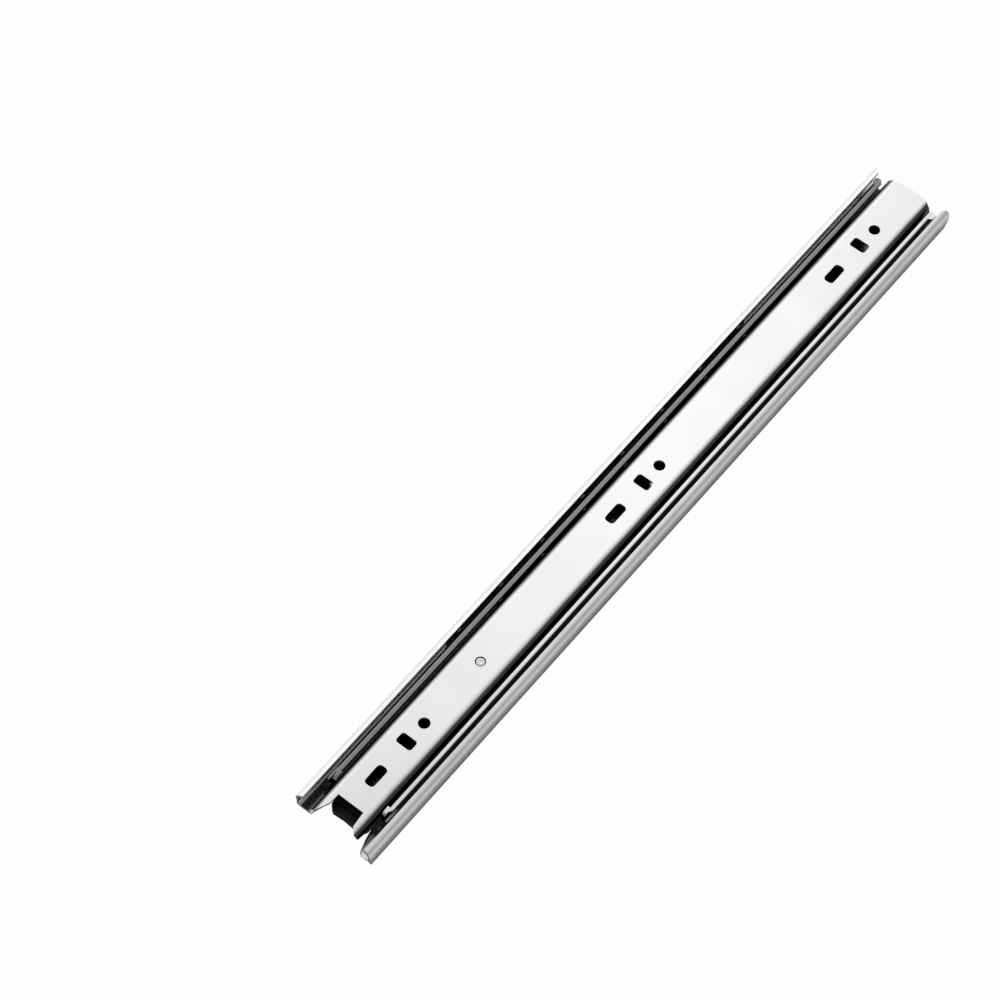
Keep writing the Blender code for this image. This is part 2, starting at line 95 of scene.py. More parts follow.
# Fine lines left by the rolls, all along the strip, and slow clouds in the plating.
def makeRollLines():
    scales = [("alongScale", 14.0), ("acrossScale", 1500.0), ("cloudScale", 26.0)]
    tree, given, out = newGroup("rollLines", scales, ["lines", "clouds"])
    spot = putNode(tree, "TexCoord").outputs["Object"]
    stretch = putNode(tree, "CombineXYZ", {0: given["alongScale"], 1: given["acrossScale"],
                                           2: given["acrossScale"]}).outputs[0]
    drawn = putNode(tree, "VectorMath", {0: spot, 1: stretch}, operation="MULTIPLY").outputs[0]
    lines = putNode(tree, "TexNoise", {"Vector": drawn, "Scale": 1.0, "Detail": 4.0, "Roughness": 0.65})
    clouds = putNode(tree, "TexNoise", {"Vector": spot, "Scale": given["cloudScale"], "Detail": 3.0})
    tree.links.new(lines.outputs[0], out["lines"])
    tree.links.new(clouds.outputs[0], out["clouds"])
    return tree


# Hairline scratches in two directions and small specks, from handling and packing.
def makeHandlingMarks():
    tree, given, out = newGroup("handlingMarks", [("scratchAmount", 0.5), ("speckScale", 900.0)],
                                ["scratches", "specks"])
    spot = putNode(tree, "TexCoord").outputs["Object"]
    found = []
    for turn, stretch in (((0.2, 0.1, 0.35), (40.0, 2600.0, 900.0)),
                          ((0.1, -0.3, -0.9), (60.0, 3200.0, 900.0))):
        turned = putNode(tree, "Mapping", {"Vector": spot, "Rotation": turn, "Scale": stretch})
        grain = putNode(tree, "TexNoise", {"Vector": turned.outputs[0], "Scale": 1.0, "Detail": 2.0})
        found.append(remap(tree, grain.outputs[0], 0.66, 0.72))
    both = doMath(tree, "MAXIMUM", *found)
    patch = putNode(tree, "TexNoise", {"Vector": spot, "Scale": 60.0, "Detail": 2.0}).outputs[0]
    shown = doMath(tree, "MULTIPLY", both, remap(tree, patch, 0.45, 0.6))
    tree.links.new(doMath(tree, "MULTIPLY", shown, given["scratchAmount"]), out["scratches"])
    dots = putNode(tree, "TexVoronoi", {"Vector": spot, "Scale": given["speckScale"]}).outputs[0]
    tree.links.new(remap(tree, dots, 0.05, 0.16, 1.0, 0.0), out["specks"])
    return tree


# The greased race, its near-black colour partly grease and partly painted shade: faces that look towards a
# ball row and lie within reach of it. Lengths are in metres.
def makeRaceGreaseAndShade():
    tree, given, out = newGroup("raceGreaseAndShade", [("rowY", 0.0194), ("rowZ", 0.008), ("reach", 0.0045)], ["film"])
    where = putNode(tree, "TexCoord")
    spot = putNode(tree, "SeparateXYZ", {0: where.outputs["Object"]}).outputs
    facing = putNode(tree, "SeparateXYZ", {0: where.outputs["Normal"]}).outputs
    side = doMath(tree, "SIGN", spot[1])
    awayY = doMath(tree, "SUBTRACT", doMath(tree, "ABSOLUTE", spot[1]), given["rowY"])
    awayZ = doMath(tree, "SUBTRACT", spot[2], given["rowZ"])
    far = doMath(tree, "SQRT", doMath(tree, "ADD", doMath(tree, "MULTIPLY", awayY, awayY),
                                      doMath(tree, "MULTIPLY", awayZ, awayZ)))
    lookY = doMath(tree, "MULTIPLY", awayY, doMath(tree, "MULTIPLY", facing[1], side))
    lookZ = doMath(tree, "MULTIPLY", awayZ, facing[2])
    towards = doMath(tree, "DIVIDE", doMath(tree, "ADD", lookY, lookZ), doMath(tree, "MAXIMUM", far, 0.0001))
    smear = putNode(tree, "TexNoise", {"Vector": where.outputs["Object"], "Scale": 120.0,
                                       "Detail": 2.0}).outputs[0]
    limit = doMath(tree, "ADD", given["reach"], doMath(tree, "MULTIPLY", smear, 0.0004))
    near = remap(tree, doMath(tree, "SUBTRACT", far, limit), -0.0003, 0.0003, 1.0, 0.0)
    tree.links.new(doMath(tree, "MULTIPLY", near, remap(tree, towards, -0.3, 0.0, 1.0, 0.0)), out["film"])
    return tree


# Painted shade and dark reflection on a strip: darker along its bends, at its ends, underneath, and on the
# left lip.
def makePaintedStripShade():
    tree, given, out = newGroup("paintedStripShade", [("bendStart", 0.05), ("bendEnd", 0.55), ("lipInner", 0.0128)],
                                ["bend", "end", "under", "lip"])
    where = putNode(tree, "TexCoord")
    spot = putNode(tree, "SeparateXYZ", {0: where.outputs["Object"]}).outputs
    facing = putNode(tree, "SeparateXYZ", {0: where.outputs["Normal"]}).outputs
    lean = doMath(tree, "ABSOLUTE", facing[1])
    wave = putNode(tree, "TexNoise", {"Vector": where.outputs["Object"], "Scale": 45.0,
                                      "Detail": 2.0}).outputs[0]
    lean = doMath(tree, "ADD", lean, doMath(tree, "MULTIPLY", doMath(tree, "SUBTRACT", wave, 0.5), 0.12))
    tree.links.new(remap(tree, lean, given["bendStart"], given["bendEnd"]), out["bend"])
    tree.links.new(remap(tree, doMath(tree, "ABSOLUTE", facing[0]), 0.25, 0.7), out["end"])
    tree.links.new(remap(tree, facing[2], -0.3, -0.8), out["under"])
    reach = doMath(tree, "SUBTRACT", doMath(tree, "MULTIPLY", spot[1], -1.0), given["lipInner"])
    raised = remap(tree, facing[2], 0.2, 0.6)
    tree.links.new(doMath(tree, "MULTIPLY", raised, remap(tree, reach, 0.0, 0.0004)), out["lip"])
    return tree


# Moulding texture of the black plastics.
def makeMouldGrain():
    tree, given, out = newGroup("mouldGrain", [("grainScale", 2600.0)], ["grain", "bloom"])
    spot = putNode(tree, "TexCoord").outputs["Object"]
    grain = putNode(tree, "TexNoise", {"Vector": spot, "Scale": given["grainScale"],
                                       "Detail": 3.0}).outputs[0]
    bloom = putNode(tree, "TexNoise", {"Vector": spot, "Scale": 160.0, "Detail": 4.0}).outputs[0]
    tree.links.new(grain, out["grain"])
    tree.links.new(bloom, out["bloom"])
    return tree


groups = {"rollLines": makeRollLines(), "handlingMarks": makeHandlingMarks(),
          "raceGreaseAndShade": makeRaceGreaseAndShade(), "paintedStripShade": makePaintedStripShade(), "mouldGrain": makeMouldGrain()}

finishes = {}


def startFinish(name, metallic, specular=0.5):
    made = bpy.data.materials.new(name)
    made.use_nodes = True
    finishes[name] = made
    shader = made.node_tree.nodes["Principled BSDF"]
    shader.inputs["Metallic"].default_value = metallic
    shader.inputs["Specular IOR Level"].default_value = specular
    return made.node_tree, shader


def plateFinish(name, look):
    tree, shader = startFinish(name, 1.0, 0.1)
    rolled = useGroup(tree, groups["rollLines"], alongScale=look["along"], cloudScale=look["clouds"])
    marks = useGroup(tree, groups["handlingMarks"], scratchAmount=look["scratches"])
    colour = blendColour(tree, remap(tree, rolled["clouds"], 0.35, 0.65), look["light"], look["dark"])
    colour = blendColour(tree, marks["specks"], colour, look["speck"])
    rough = remap(tree, rolled["lines"], 0.25, 0.75, look["rough"][0], look["rough"][1], smooth=False)
    rough = doMath(tree, "ADD", rough, doMath(tree, "MULTIPLY", marks["scratches"], 0.18))
    greaseAndShadeMask = 0.0
    # Grease near the ball rows, its near-black colour partly painted shade; it also dulls the metal.
    for rowY, rowZ, reach in look["rows"]:
        film = useGroup(tree, groups["raceGreaseAndShade"], rowY=rowY * mm, rowZ=rowZ * mm, reach=reach * mm)["film"]
        colour = blendColour(tree, film, colour, look["greaseAndShadeColour"])
        rough = doMath(tree, "ADD", rough, doMath(tree, "MULTIPLY", film, 0.16))
        greaseAndShadeMask = doMath(tree, "MAXIMUM", film, greaseAndShadeMask)
    # Painted shade and dark reflection: bends, ends, undersides and the left lip darkened by the way they
    # face.
    tone = useGroup(tree, groups["paintedStripShade"], **look["bends"])
    for mask, shade in look["paintedShades"].items():
        colour = blendColour(tree, tone[mask], colour, shade)
    tree.links.new(colour, shader.inputs["Base Color"])
    tree.links.new(rough, shader.inputs["Roughness"])
    tree.links.new(doMath(tree, "SUBTRACT", 1.0, greaseAndShadeMask), shader.inputs["Metallic"])
    height = doMath(tree, "ADD", doMath(tree, "MULTIPLY", rolled["lines"], 0.6),
                    doMath(tree, "MULTIPLY", marks["scratches"], -0.8))
    bump = putNode(tree, "Bump", {"Height": height, "Strength": look["relief"], "Distance": 0.00002})
    tree.links.new(bump.outputs[0], shader.inputs["Normal"])


outerRow = (19.4, 8.0)
innerRow = (14.85, 6.1)
# In each finish the tone colours are painted shade and dark reflection, and the grease colour is partly
# painted shade.
plateFinish("drawerZinc", {
    "light": (0.90, 0.91, 0.92, 1.0), "dark": (0.86, 0.87, 0.89, 1.0), "speck": (0.74, 0.74, 0.75, 1.0),
    "greaseAndShadeColour": (0.016, 0.016, 0.017, 1.0), "rows": [(*innerRow, 3.1)],
    "paintedShades": {"bend": (0.07, 0.07, 0.072, 1.0), "end": (0.16, 0.16, 0.16, 1.0),
              "under": (0.08, 0.08, 0.08, 1.0)},
    "bends": {"bendStart": 0.05, "bendEnd": 0.52},
    "along": 14.0, "clouds": 26.0, "scratches": 0.5, "rough": (0.12, 0.20), "relief": 0.2})
plateFinish("middleZinc", {
    "light": (0.88, 0.89, 0.90, 1.0), "dark": (0.82, 0.83, 0.85, 1.0), "speck": (0.66, 0.66, 0.67, 1.0),
    "greaseAndShadeColour": (0.016, 0.016, 0.017, 1.0), "rows": [(*outerRow, 4.2), (*innerRow, 3.1)],
    "paintedShades": {"lip": (0.22, 0.22, 0.23, 1.0), "bend": (0.03, 0.03, 0.031, 1.0),
              "end": (0.16, 0.16, 0.16, 1.0)},
    "bends": {"bendStart": 0.38, "bendEnd": 0.66},
    "along": 14.0, "clouds": 26.0, "scratches": 0.5, "rough": (0.10, 0.17), "relief": 0.25})
plateFinish("cabinetZinc", {
    "light": (0.84, 0.84, 0.85, 1.0), "dark": (0.77, 0.78, 0.80, 1.0), "speck": (0.60, 0.60, 0.61, 1.0),
    "greaseAndShadeColour": (0.013, 0.013, 0.014, 1.0), "rows": [(*outerRow, 4.6)],
    "paintedShades": {"end": (0.16, 0.16, 0.16, 1.0)}, "bends": {},
    "along": 12.0, "clouds": 20.0, "scratches": 0.7, "rough": (0.13, 0.22), "relief": 0.3})
plateFinish("cageSteel", {
    "light": (0.24, 0.24, 0.25, 1.0), "dark": (0.18, 0.18, 0.19, 1.0), "speck": (0.1, 0.1, 0.1, 1.0),
    "greaseAndShadeColour": (0.03, 0.03, 0.03, 1.0), "rows": [(*outerRow, 2.9), (*innerRow, 2.4)],
    "paintedShades": {"end": (0.06, 0.06, 0.06, 1.0)}, "bends": {},
    "along": 18.0, "clouds": 60.0, "scratches": 0.4, "rough": (0.22, 0.34), "relief": 0.35})


# Sheared edges: a bright burnished half and a duller torn one, with fine vertical streaks.
def edgeFinish(name, look):
    tree, shader = startFinish(name, 1.0)
    rolled = useGroup(tree, groups["rollLines"], alongScale=2400.0, acrossScale=300.0, cloudScale=220.0)
    streak = remap(tree, rolled["lines"], 0.35, 0.65)
    colour = blendColour(tree, streak, look["light"], look["dark"])
    tree.links.new(blendColour(tree, remap(tree, rolled["clouds"], 0.45, 0.7), colour, look["torn"]),
                   shader.inputs["Base Color"])
    tree.links.new(remap(tree, rolled["clouds"], 0.3, 0.7, look["rough"][0], look["rough"][1]),
                   shader.inputs["Roughness"])
    bump = putNode(tree, "Bump", {"Height": rolled["lines"], "Strength": 0.35, "Distance": 0.00003})
    tree.links.new(bump.outputs[0], shader.inputs["Normal"])


edgeFinish("shearedEdge", {"light": (0.30, 0.30, 0.31, 1.0), "dark": (0.20, 0.20, 0.21, 1.0),
                           "torn": (0.14, 0.14, 0.14, 1.0), "rough": (0.24, 0.42)})


def steelFinish(name, look):
    tree, shader = startFinish(name, 1.0)
    marks = useGroup(tree, groups["handlingMarks"], scratchAmount=0.4, speckScale=1400.0)
    rolled = useGroup(tree, groups["rollLines"], alongScale=180.0, acrossScale=180.0, cloudScale=300.0)
    smear = remap(tree, rolled["clouds"], 0.4, 0.65)
    tree.links.new(blendColour(tree, smear, look["clean"], look["oily"]), shader.inputs["Base Color"])
    rough = remap(tree, rolled["clouds"], 0.35, 0.7, look["rough"][0], look["rough"][1])
    tree.links.new(doMath(tree, "ADD", rough, doMath(tree, "MULTIPLY", marks["scratches"], 0.1)),
                   shader.inputs["Roughness"])
    bump = putNode(tree, "Bump", {"Height": marks["scratches"], "Strength": 0.2, "Distance": 0.00001})
    tree.links.new(bump.outputs[0], shader.inputs["Normal"])


steelFinish("chromeBall", {"clean": (0.13, 0.13, 0.13, 1.0), "oily": (0.03, 0.03, 0.03, 1.0),
                           "rough": (0.14, 0.3)})
steelFinish("rivetSteel", {"clean": (0.74, 0.75, 0.76, 1.0), "oily": (0.60, 0.60, 0.61, 1.0),
                           "rough": (0.16, 0.28)})


def plasticFinish(name, look):
    tree, shader = startFinish(name, 0.0, look["specular"])
    moulded = useGroup(tree, groups["mouldGrain"], grainScale=look["grainScale"])
    marks = useGroup(tree, groups["handlingMarks"], scratchAmount=look["scratches"], speckScale=700.0)
    colour = blendColour(tree, remap(tree, moulded["bloom"], 0.4, 0.7), look["deep"], look["bloomed"])
    tree.links.new(blendColour(tree, marks["specks"], colour, look["dust"]), shader.inputs["Base Color"])
    rough = remap(tree, moulded["bloom"], 0.3, 0.7, look["rough"][0], look["rough"][1])
    tree.links.new(doMath(tree, "ADD", rough, doMath(tree, "MULTIPLY", marks["scratches"], 0.2)),
                   shader.inputs["Roughness"])
    bump = putNode(tree, "Bump", {"Height": moulded["grain"], "Strength": look["relief"],
                                  "Distance": 0.00004})
    tree.links.new(bump.outputs[0], shader.inputs["Normal"])


plasticFinish("blackNylon", {"deep": (0.003, 0.003, 0.0035, 1.0), "bloomed": (0.006, 0.006, 0.0065, 1.0),
                             "dust": (0.012, 0.012, 0.012, 1.0), "rough": (0.34, 0.46), "scratches": 0.4,
                             "grainScale": 2600.0, "relief": 0.25, "specular": 0.11})
plasticFinish("blackRubber", {"deep": (0.006, 0.006, 0.006, 1.0), "bloomed": (0.012, 0.012, 0.012, 1.0),
                              "dust": (0.03, 0.03, 0.029, 1.0), "rough": (0.62, 0.8), "scratches": 0.2,
                              "grainScale": 1500.0, "relief": 0.5, "specular": 0.3})
print("finishes:", ", ".join(finishes))


# Outlines, all in millimetres

def arcPoints(across, up, radius, start, end, steps):
    turns = [math.radians(start + (end - start) * i / steps) for i in range(steps + 1)]
    return [(across + radius * math.cos(turn), up + radius * math.sin(turn)) for turn in turns]


def roundHole(x, y, width, sides=48):
    return arcPoints(x, y, width / 2, 0.0, 360.0 * (sides - 1) / sides, sides - 1)


def boxPoints(xLow, xHigh, yLow, yHigh):
    return [(xLow, yLow), (xHigh, yLow), (xHigh, yHigh), (xLow, yHigh)]


def slotPoints(x, y, length, width, corner=None, steps=10):
    radius = corner if corner else min(length, width) / 2 - 0.01
    alongX = length / 2 - radius
    alongY = width / 2 - radius
    points = []
    for signX, signY, start in ((1, 1, 0.0), (-1, 1, 90.0), (-1, -1, 180.0), (1, -1, 270.0)):
        points += arcPoints(x + signX * alongX, y + signY * alongY, radius, start, start + 90.0, steps)
    return points


def turnedPoints(outline, x, y, degrees):
    turn = math.radians(degrees)
    return [(x + (px - x) * math.cos(turn) - (py - y) * math.sin(turn),
             y + (px - x) * math.sin(turn) + (py - y) * math.cos(turn)) for px, py in outline]


# Both sides of a bent sheet from the right half of its middle line, mirrored to the left.
def sheetOutline(half, thickness):
    line = [(-y, z) for y, z in reversed(half) if y > 0] + list(half)
    points = np.array(line, dtype=float)
    step = np.diff(points, axis=0)
    step /= np.linalg.norm(step, axis=1)[:, None]
    normal = np.stack([-step[:, 1], step[:, 0]], axis=1)
    joined = np.vstack([normal[:1], normal[:-1] + normal[1:], normal[-1:]])
    joined /= np.linalg.norm(joined, axis=1)[:, None]
    near = np.vstack([normal[:1], normal[:-1], normal[-1:]])
    side = joined * (thickness / 2 / np.einsum("ij,ij->i", joined, near))[:, None]
    return [tuple(p) for p in points + side] + [tuple(p) for p in (points - side)[::-1]]


# Adds a closed outline, pulled from low to high along an axis. Finish 0 is the face, 1 the cut edge.
def addPrism(bm, outline, low, high, axis, sideFinish=1, capFinish=1, edgeSteps=()):
    order = {"X": lambda p, level: (level, p[0], p[1]), "Y": lambda p, level: (p[0], level, p[1]),
             "Z": lambda p, level: (p[0], p[1], level)}[axis]
    bottom = [bm.verts.new(order(point, low)) for point in outline]
    top = [bm.verts.new(order(point, high)) for point in outline]
    for face in (bm.faces.new(bottom), bm.faces.new(list(reversed(top)))):
        face.material_index = capFinish
    for index in range(len(outline)):
        after = (index + 1) % len(outline)
        face = bm.faces.new((bottom[after], bottom[index], top[index], top[after]))
        face.material_index = 1 if index in edgeSteps else sideFinish


def newPiece(name, bm, finishNames):
    bmesh.ops.recalc_face_normals(bm, faces=bm.faces[:])
    bmesh.ops.scale(bm, vec=(mm, mm, mm), verts=bm.verts[:])
    mesh = bpy.data.meshes.new(name)
    bm.to_mesh(mesh)
    bm.free()
    for finish in finishNames:
        mesh.materials.append(finishes[finish])
    made = bpy.data.objects.new(name, mesh)
    bpy.context.scene.collection.objects.link(made)
    return made


def settle(piece):
    graph = bpy.context.evaluated_depsgraph_get()
    mesh = bpy.data.meshes.new_from_object(piece.evaluated_get(graph))
    piece.modifiers.clear()
    piece.data = mesh
    return piece


# Cuts shapes out of a piece, or joins them to it, one after another.
def shapePiece(piece, shapes, how="DIFFERENCE", together=True, finish=1):
    helpers = []
    for batch in ([shapes] if together else [[shape] for shape in shapes]):
        bm = bmesh.new()
        for outline, low, high, axis in batch:
            addPrism(bm, outline, low, high, axis, finish, finish)
        tool = newPiece("tool", bm, [])
        helpers.append(tool)
        modifier = piece.modifiers.new("shape", "BOOLEAN")
        modifier.operation = how
        modifier.solver = "EXACT"
        modifier.object = tool
    settle(piece)
    for tool in helpers:
        bpy.data.objects.remove(tool, do_unlink=True)
    return piece


# Breaks every sharp edge a little, as deburring and plating do.
def softenEdges(piece, width, steps=2, angle=38.0):
    bm = bmesh.new()
    bm.from_mesh(piece.data)
    bmesh.ops.remove_doubles(bm, verts=bm.verts[:], dist=0.004 * mm)
    bmesh.ops.dissolve_degenerate(bm, edges=bm.edges[:], dist=0.002 * mm)
    bm.to_mesh(piece.data)
    bm.free()
    bevel = piece.modifiers.new("softEdge", "BEVEL")
    bevel.width = width * mm
    bevel.segments = steps
    bevel.limit_method = "ANGLE"
    bevel.angle_limit = math.radians(angle)
    bevel.use_clamp_overlap = True
    settle(piece)
    piece.data.shade_smooth()
    even = piece.modifiers.new("evenNormals", "WEIGHTED_NORMAL")
    even.keep_sharp = True
    return settle(piece)


def sheetPiece(name, half, thickness, xLow, xHigh, faceFinish):
    outline = sheetOutline(half, thickness)
    bm = bmesh.new()
    ends = (len(outline) // 2 - 1, len(outline) - 1)
    addPrism(bm, outline, xLow, xHigh, "X", sideFinish=0, capFinish=1, edgeSteps=ends)
    return newPiece(name, bm, [faceFinish, "shearedEdge"])


def solidPiece(name, shapes, finish):
    outline, low, high, axis = shapes[0]
    bm = bmesh.new()
    addPrism(bm, outline, low, high, axis, 0, 0)
    made = newPiece(name, bm, [finish])
    if len(shapes) > 1:
        shapePiece(made, shapes[1:], "UNION", together=False, finish=0)
    return made


def attach(piece, body, slotName, *nodes):
    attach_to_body(piece, body)
    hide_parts(*nodes)


slideFront = 225.0
slideRear = -225.0

# The cabinet member: a channel with both edges rolled in, screwed to the cabinet side.
cabinet = {
    "sheet": 1.2, "web": 0.6, "bend": 1.0, "halfWidth": 22.75, "lipRadius": 3.6, "edge": 0.2,
    "tongues": (-176.6, -89.9, 32.6, 119.4), "roundHole": 5.6,
    "slot": (21.6, 11.4, 5.2), "slotAhead": (43.6, 11.2, 5.6),
    "tongueBack": 12.8, "tongueLeg": 32.0, "tongueHalf": 11.6, "endSlit": 4.0, "sideSlit": 1.9,
    "leftNose": ((3.0, 0.0), (3.0, 1.4), (3.1, 4.0), (2.8, 6.0), (2.4, 9.0), (2.6, 10.9), (3.2, 12.3)),
    "rightNose": ((1.2, 0.0), (0.7, 1.4), (0.1, 4.0), (0.0, 6.0), (0.0, 10.6), (0.3, 11.5), (0.8, 12.3)),
    "rearNose": ((4.6, 0.0), (3.2, 1.4), (1.1, 4.0), (0.0, 7.0), (0.0, 11.0), (0.2, 11.6), (0.5, 12.3)),
    "rearLips": ((0.0, 21.6), (0.2, 20.9), (0.8, 20.2), (1.8, 19.6), (3.6, 18.7), (4.2, 18.0)),
    "ovals": ((-217.2, 15.2, 7.2, -50.0), (-214.9, -15.6, 8.2, -66.0)), "ovalWidth": 3.9,
    "notchFloor": 210.4, "notchHalf": 12.6, "ear": (221.0, 17.6, 3.2)}


def tongueSlit(x):
    back = x - cabinet["tongueBack"]
    leg = x + cabinet["tongueLeg"]
    outer = cabinet["tongueHalf"]
    inner = outer - cabinet["sideSlit"]
    near = back + cabinet["endSlit"]
    tip = cabinet["sideSlit"] / 2
    upper = arcPoints(back + 3.6, outer - 3.6, 3.6, 180.0, 90.0, 12)
    upper += arcPoints(leg - tip, outer - tip, tip, 90.0, -90.0, 10)
    upper += arcPoints(near + 1.8, inner - 1.8, 1.8, 90.0, 180.0, 8)
    return upper + [(px, -py) for px, py in reversed(upper)]


def noseShape(nose, facing, low=-46.0, high=46.0):
    beyond = facing * (slideFront + 4.0)
    edge = [(facing * (slideFront - back) + facing * 0.001, height) for back, height in nose]
    outline = [(beyond, -1.0), (edge[0][0], -1.0)] + edge + [(edge[-1][0], 14.0), (beyond, 14.0)]
    return outline, low, high, "Y"


def pegHole(clear):
    flat = -218.2 + clear
    radius = 3.4 - clear
    return arcPoints(flat + 1.5, 0.6, radius, 90.0, -90.0, 24) + [(flat, 0.6 - radius), (flat, 0.6 + radius)]


def buildCabinetMember():
    flange = cabinet["halfWidth"] - cabinet["sheet"] / 2
    bend = cabinet["bend"]
    lip = cabinet["lipRadius"]
    line = [(0.0, cabinet["web"])]
    line += arcPoints(flange - bend, cabinet["web"] + bend, bend, -90.0, 0.0, 10)
    line += arcPoints(flange - lip, outerRow[1], lip, 0.0, 85.0, 22)
    member = sheetPiece("cabinetMember", line, cabinet["sheet"], slideRear, slideFront, "cabinetZinc")
    through = (-1.0, cabinet["sheet"] + 0.6, "Z")
    shapes = []
    for x in cabinet["tongues"]:
        offset, length, width = cabinet["slot"]
        ahead, aheadLength, aheadWidth = cabinet["slotAhead"]
        shapes.append((tongueSlit(x), *through))
        shapes.append((roundHole(x, 0.0, cabinet["roundHole"]), *through))
        shapes.append((slotPoints(x + offset, 0.0, length, width), *through))
        shapes.append((slotPoints(x + ahead, 0.0, aheadLength, aheadWidth, 2.4), *through))
    shapes.append((pegHole(0.0), *through))
    for x, y, length, lean in cabinet["ovals"]:
        shapes.append((turnedPoints(slotPoints(x, y, length, cabinet["ovalWidth"]), x, y, lean), *through))
    floor = cabinet["notchFloor"]
    wide = cabinet["notchHalf"]
    earX, earY, earRadius = cabinet["ear"]
    half = [(floor - 1.5, 0.0), (floor - 1.0, 5.0)] + arcPoints(floor + 1.6, wide - 2.4, 1.6, 180.0, 90.0, 10)
    half += [(216.0, wide), (219.6, wide + 1.2)] + arcPoints(earX, earY, earRadius, -60.0, 40.0, 16)
    half += [(slideFront - 1.6, 21.4), (slideFront + 5.0, 21.4)]
    shapes.append((half + [(px, -py) for px, py in reversed(half[1:])], *through))
    shapePiece(member, shapes)
    shapePiece(member, [noseShape(cabinet["leftNose"], 1, high=0.0), noseShape(cabinet["rearNose"], -1)])
    shapePiece(member, [noseShape(cabinet["rightNose"], 1, low=0.0)])
    plans = []
    for side in (1, -1):
        plan = [(slideRear + back - 0.001, y * side) for back, y in cabinet["rearLips"]]
        plan = [(slideRear - 4.0, 21.6 * side)] + plan + [(slideRear - 4.0, 18.0 * side)]
        plans.append((plan, 10.2, 13.5, "Z"))
    shapePiece(member, plans)
    stop = cabinet["tongues"][2] - cabinet["tongueBack"] + cabinet["endSlit"] + 0.2
    shapePiece(member, [(boxPoints(stop, stop + 2.4, -4.0, 4.0), 0.6, 2.0, "Z")], "UNION", finish=0)
    softenEdges(member, cabinet["edge"])
    attach(member, "cabinet_side", "zinc", "cabinet_member")
    print("cabinet member built:", len(member.data.polygons), "faces")


buildCabinetMember()

# The intermediate member: runs on the outer balls and carries the inner ones.
middle = {
    "sheet": 1.1, "web": 2.85, "bend": 1.7, "flange": 17.2, "lipEdge": 14.0, "rightLipEdge": 14.7,
    "lipTop": 11.71, "curl": 1.7,
    "rear": -219.4, "front": 207.0, "tongue": 211.0, "edge": 0.1,
    "tabDrop": 5.0, "tabBend": 3.2, "tabSides": (13.3, 15.2),
    "accessSlots": (-112.0, -30.0, 99.0), "travel": 215.0}


def buildMiddleMember():
    sheet = middle["sheet"]
    bend = middle["bend"]
    flange = middle["flange"]
    rear = middle["rear"]
    front = middle["front"]
    race = 2.25 + sheet / 2
    lip = middle["lipTop"] - sheet / 2
    curl = middle["curl"]
    line = [(0.0, middle["web"])]
    line += arcPoints(flange - bend, middle["web"] + bend, bend, -90.0, 0.0, 10) + [(flange, 6.0)]
    line += arcPoints(*outerRow, race, 215.0, 155.0, 14)
    line += arcPoints(line[-1][0] - curl, lip - curl, curl, 0.0, 90.0, 10) + [(middle["lipEdge"], lip)]
    member = sheetPiece("intermediateMember", line, sheet, rear, middle["tongue"], "middleZinc")
    shapePiece(member, [(boxPoints(front, middle["tongue"] + 2, 9.4 * side, 18.5 * side), 1.0, 13.0, "Z")
                        for side in (1, -1)])
    web = (1.9, 3.9, "Z")
    shapes = [(boxPoints(207.3, 212.0, -1.7, 1.7), *web), (roundHole(204.9, 5.0, 3.6), *web),
              (roundHole(204.9, -5.0, 3.6), *web), (boxPoints(rear - 1, -210.7, -6.0, 6.0), *web),
              (roundHole(-194.6, 0.0, 3.6), *web)]
    shapes += [(slotPoints(x, 0.0, 14.0, 9.0), *web) for x in middle["accessSlots"]]
    shapePiece(member, shapes)
    shapePiece(member, [(boxPoints(rear - 1, front + 1, 13.5, middle["rightLipEdge"]), 10.0, 13.0, "Z")])
    lips = []
    for side in (1, -1):
        taper = [(front - 8.0, 18.5), (front - 8.0, 16.9), (front - 5.5, 16.2), (front - 3.6, 15.2),
                 (front - 2.2, 15.2), (front - 2.2, 13.0), (front + 1.0, 13.0), (front + 1.0, 18.5)]
        lips.append(([(x, y * side) for x, y in taper], 9.6, 13.0, "Z"))
        corner = [(rear - 0.5, 14.0 * side), (rear + 1.8, 14.0 * side), (rear + 1.1, 14.6 * side),
                  (rear + 0.5, 15.2 * side), (rear - 0.5, 15.6 * side)]
        lips.append((corner, 10.4, 13.0, "Z"))
    shapePiece(member, lips)
    tabX = front - 1.0
    back = tabX - 5.0
    top = middle["lipTop"] - 0.02
    turn = middle["tabBend"]
    tab = [(back, top)] + arcPoints(tabX - turn, top - turn, turn, 90.0, 0.0, 12)
    tab += [(tabX, middle["tabDrop"]), (tabX - sheet, middle["tabDrop"])]
    tab += arcPoints(tabX - turn, top - turn, turn - sheet, 0.0, 90.0, 6) + [(back, top - sheet)]
    tabs = [(tab, *sorted((middle["tabSides"][0] * side, middle["tabSides"][1] * side)), "Y")
            for side in (1, -1)]
    shapePiece(member, tabs, "UNION", finish=0)
    flares = []
    for side in (1, -1):
        flare = [(rear + 0.01, 16.2 * side), (rear + 4.6, 16.2 * side), (rear + 3.9, 17.6 * side),
                 (rear + 3.2, 18.3 * side), (rear + 0.8, 18.3 * side), (rear + 0.2, 17.7 * side)]
        flares.append((flare, 10.3, 11.5, "Z"))
    shapePiece(member, flares, "UNION", finish=0)
    stop = cabinet["tongues"][2] - cabinet["tongueBack"] + cabinet["endSlit"] - middle["travel"]
    shapePiece(member, [(boxPoints(stop - 2.0, stop, -3.0, 3.0), 1.5, 2.9, "Z")], "UNION", finish=0)
    softenEdges(member, middle["edge"])
    attach(member, "middle", "bright_zinc", "intermediate_member")
    print("intermediate member built:", len(member.data.polygons), "faces")


buildMiddleMember()

